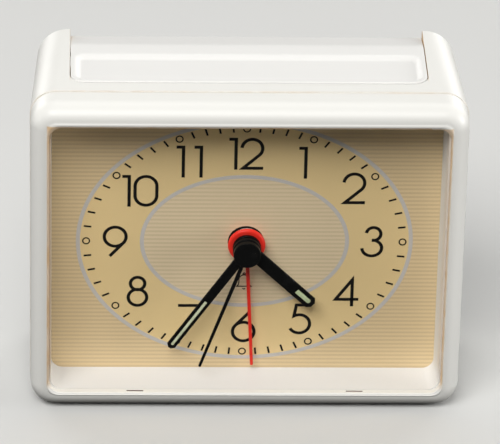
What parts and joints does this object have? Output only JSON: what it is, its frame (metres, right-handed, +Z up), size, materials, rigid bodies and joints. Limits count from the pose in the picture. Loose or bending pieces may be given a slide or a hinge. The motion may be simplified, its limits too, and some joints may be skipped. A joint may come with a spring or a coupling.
{
  "type": "bedside alarm clock",
  "caption": "Bedside quartz alarm clock in a white plastic case with a printed dial, a clear window, a wide push bar on top and setting knobs on the back.",
  "frame": {"origin": "on the table under the middle of the clock, half way along its width and its depth with the knobs", "axes": "+X to the right of someone who looks at the dial, +Y to the back, +Z up; the dial faces -Y"},
  "size_m": [0.1104, 0.0486, 0.0874],
  "materials": {
    "case": "satin white",
    "bar": "satin white",
    "window": "clear",
    "dial": "satin gold with a dark print",
    "hand_black": "satin black paint",
    "hand_red": "satin red paint",
    "lume": "matt luminous paint",
    "knob_black": "matt black",
    "movement": "natural moulded",
    "steel": "plated",
    "brass": "bright",
    "copper": "enamelled wire",
    "board": "green lacquer",
    "magnet": "dark grey",
    "cell": "printed sleeve"
  },
  "bodies": {
    "case": {"rear_case": "case", "front_bezel": "case", "lens": "window", "dial_frame": "case", "dial_plate": "dial", "bar_pivot_pin_left": "steel", "bar_pivot_pin_right": "steel", "bar_return_spring": "steel", "battery": "cell", "battery_plate_contact": "steel", "battery_spring_contact": "steel", "buzzer_cup": "knob_black", "piezo_disc": "brass", "movement_frame": "movement", "train_bridge": "movement", "movement_cover": "movement", "movement_screw_1": "steel", "movement_screw_2": "steel", "movement_screw_3": "steel", "movement_screw_4": "steel", "stator": "steel", "coil_bobbin": "knob_black", "coil_winding": "copper", "circuit_board": "board", "clock_chip": "magnet", "quartz_crystal": "steel", "alarm_contact": "brass", "stop_contact": "brass"},
    "push_bar": {"alarm_bar": "bar"},
    "bay_door": {"battery_door": "case"},
    "alarm_switch": {"alarm_switch_slider": "knob_black"},
    "time_setting": {"time_set_shaft": "movement", "time_set_knob": "knob_black"},
    "alarm_setting": {"alarm_set_shaft": "movement", "alarm_set_knob": "knob_black"},
    "alarm_pointer": {"alarm_wheel": "movement", "alarm_hand": "hand_red"},
    "hour_pointer": {"hour_wheel": "movement", "hour_hand": "hand_black", "hour_hand_lume": "lume"},
    "minute_pointer": {"minute_tube": "brass", "minute_hand": "hand_black", "minute_hand_lume": "lume"},
    "motion_gear": {"minute_wheel": "movement"},
    "seconds_pointer": {"seconds_wheel": "movement", "seconds_hand": "hand_black"},
    "third_gear": {"third_wheel": "movement"},
    "centre_gear": {"centre_wheel": "movement"},
    "rotor_gear": {"rotor_wheel": "movement"},
    "motor_rotor": {"rotor": "magnet"}
  },
  "joints": [
    {"name": "bar_press", "type": "hinge", "parent": "case", "child": "push_bar", "pos_m": [0, 0.01475, 0.0832], "axis": [1, 0, 0], "range_deg": [0, 4], "stiffness_Nm_per_rad": 0.2, "springref_deg": -2.86, "deforming": ["bar_return_spring"]},
    {"name": "door_slide", "type": "slide", "parent": "case", "child": "bay_door", "axis": [0, 1, 0], "range_m": [0, 0.03]},
    {"name": "switch_slide", "type": "slide", "parent": "case", "child": "alarm_switch", "axis": [1, 0, 0], "range_m": [0, 0.004]},
    {"name": "time_set_turn", "type": "hinge", "parent": "case", "child": "time_setting", "pos_m": [0.01258, 0.002, 0.036], "axis": [0, 1, 0], "continuous": true},
    {"name": "minute_turn", "type": "hinge", "parent": "case", "child": "minute_pointer", "pos_m": [0, -0.012, 0.043], "axis": [0, 1, 0], "continuous": true},
    {"name": "motion_turn", "type": "hinge", "parent": "case", "child": "motion_gear", "pos_m": [0.00629, -0.008, 0.0395], "axis": [0, 1, 0], "continuous": true},
    {"name": "hour_turn", "type": "hinge", "parent": "case", "child": "hour_pointer", "pos_m": [0, -0.012, 0.043], "axis": [0, 1, 0], "continuous": true},
    {"name": "alarm_set_turn", "type": "hinge", "parent": "case", "child": "alarm_setting", "pos_m": [-0.00915, 0.002, 0.036], "axis": [0, 1, 0], "continuous": true},
    {"name": "alarm_turn", "type": "hinge", "parent": "case", "child": "alarm_pointer", "pos_m": [0, -0.012, 0.043], "axis": [0, 1, 0], "continuous": true},
    {"name": "rotor_turn", "type": "hinge", "parent": "case", "child": "motor_rotor", "pos_m": [0.01256, -0.002, 0.04463], "axis": [0, 1, 0], "continuous": true},
    {"name": "rotor_gear_turn", "type": "hinge", "parent": "case", "child": "rotor_gear", "pos_m": [0.00648, -0.002, 0.043], "axis": [0, 1, 0], "continuous": true},
    {"name": "seconds_turn", "type": "hinge", "parent": "case", "child": "seconds_pointer", "pos_m": [0, -0.012, 0.043], "axis": [0, 1, 0], "continuous": true},
    {"name": "third_turn", "type": "hinge", "parent": "case", "child": "third_gear", "pos_m": [0, -0.003, 0.05272], "axis": [0, 1, 0], "continuous": true},
    {"name": "centre_turn", "type": "hinge", "parent": "case", "child": "centre_gear", "pos_m": [0, -0.005, 0.043], "axis": [0, 1, 0], "continuous": true}
  ],
  "couplings": [
    {"joint": "motion_turn", "follows": "time_set_turn", "ratio": -0.33333},
    {"joint": "minute_turn", "follows": "time_set_turn", "ratio": 1},
    {"joint": "hour_turn", "follows": "time_set_turn", "ratio": 0.083333},
    {"joint": "alarm_turn", "follows": "alarm_set_turn", "ratio": -1},
    {"joint": "rotor_gear_turn", "follows": "rotor_turn", "ratio": -0.16667},
    {"joint": "seconds_turn", "follows": "rotor_turn", "ratio": 0.033333},
    {"joint": "third_turn", "follows": "rotor_turn", "ratio": -0.0041667},
    {"joint": "centre_turn", "follows": "rotor_turn", "ratio": 0.00055556}
  ]
}
